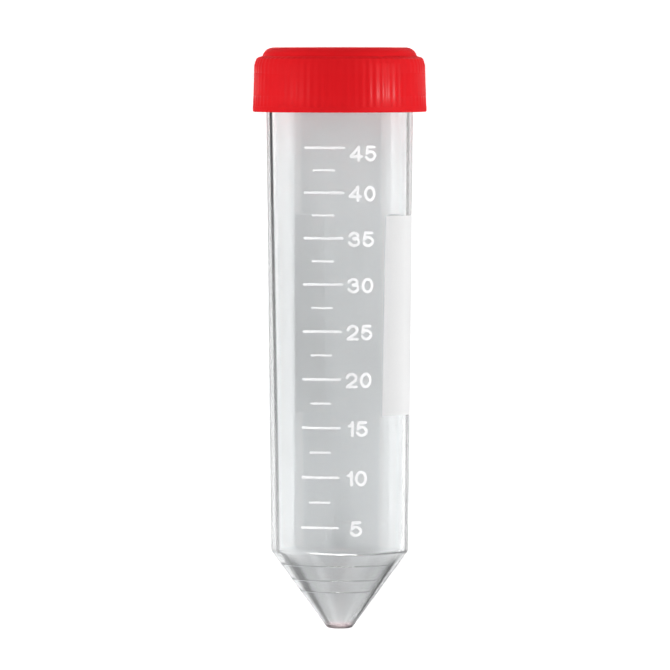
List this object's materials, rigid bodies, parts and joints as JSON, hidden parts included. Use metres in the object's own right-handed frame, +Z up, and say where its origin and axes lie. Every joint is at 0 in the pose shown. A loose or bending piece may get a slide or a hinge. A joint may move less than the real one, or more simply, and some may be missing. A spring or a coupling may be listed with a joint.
{
  "type": "50 ml conical tube",
  "caption": "Clear conical-bottom screw-cap tube with a printed millilitre scale, a white writing panel and a ribbed red cap, lying on its side.",
  "frame": {"origin": "on the bench, under the middle of the closed tube's outline", "axes": "+Z up; +Y along the tube from the conical tip to the cap, which rests with its axis rising 2.4 degrees towards the cap; +X to the right of the printed scale, which faces up"},
  "size_m": [0.0348, 0.1168, 0.0348],
  "materials": {
    "clear_plastic": "clear, polished moulding",
    "red_plastic": "opaque, semi-gloss moulding with fine ribs",
    "white_ink": "opaque screen-printed ink"
  },
  "bodies": {
    "tube": {"tube": "clear_plastic", "scale_print": "white_ink", "writing_panel": "white_ink"},
    "cap": {"cap": "red_plastic"}
  },
  "joints": [
    {"name": "cap_lift", "type": "slide", "parent": "tube", "child": "cap", "axis": [0, 0.9991, 0.0417], "range_m": [0, 0.03]}
  ]
}
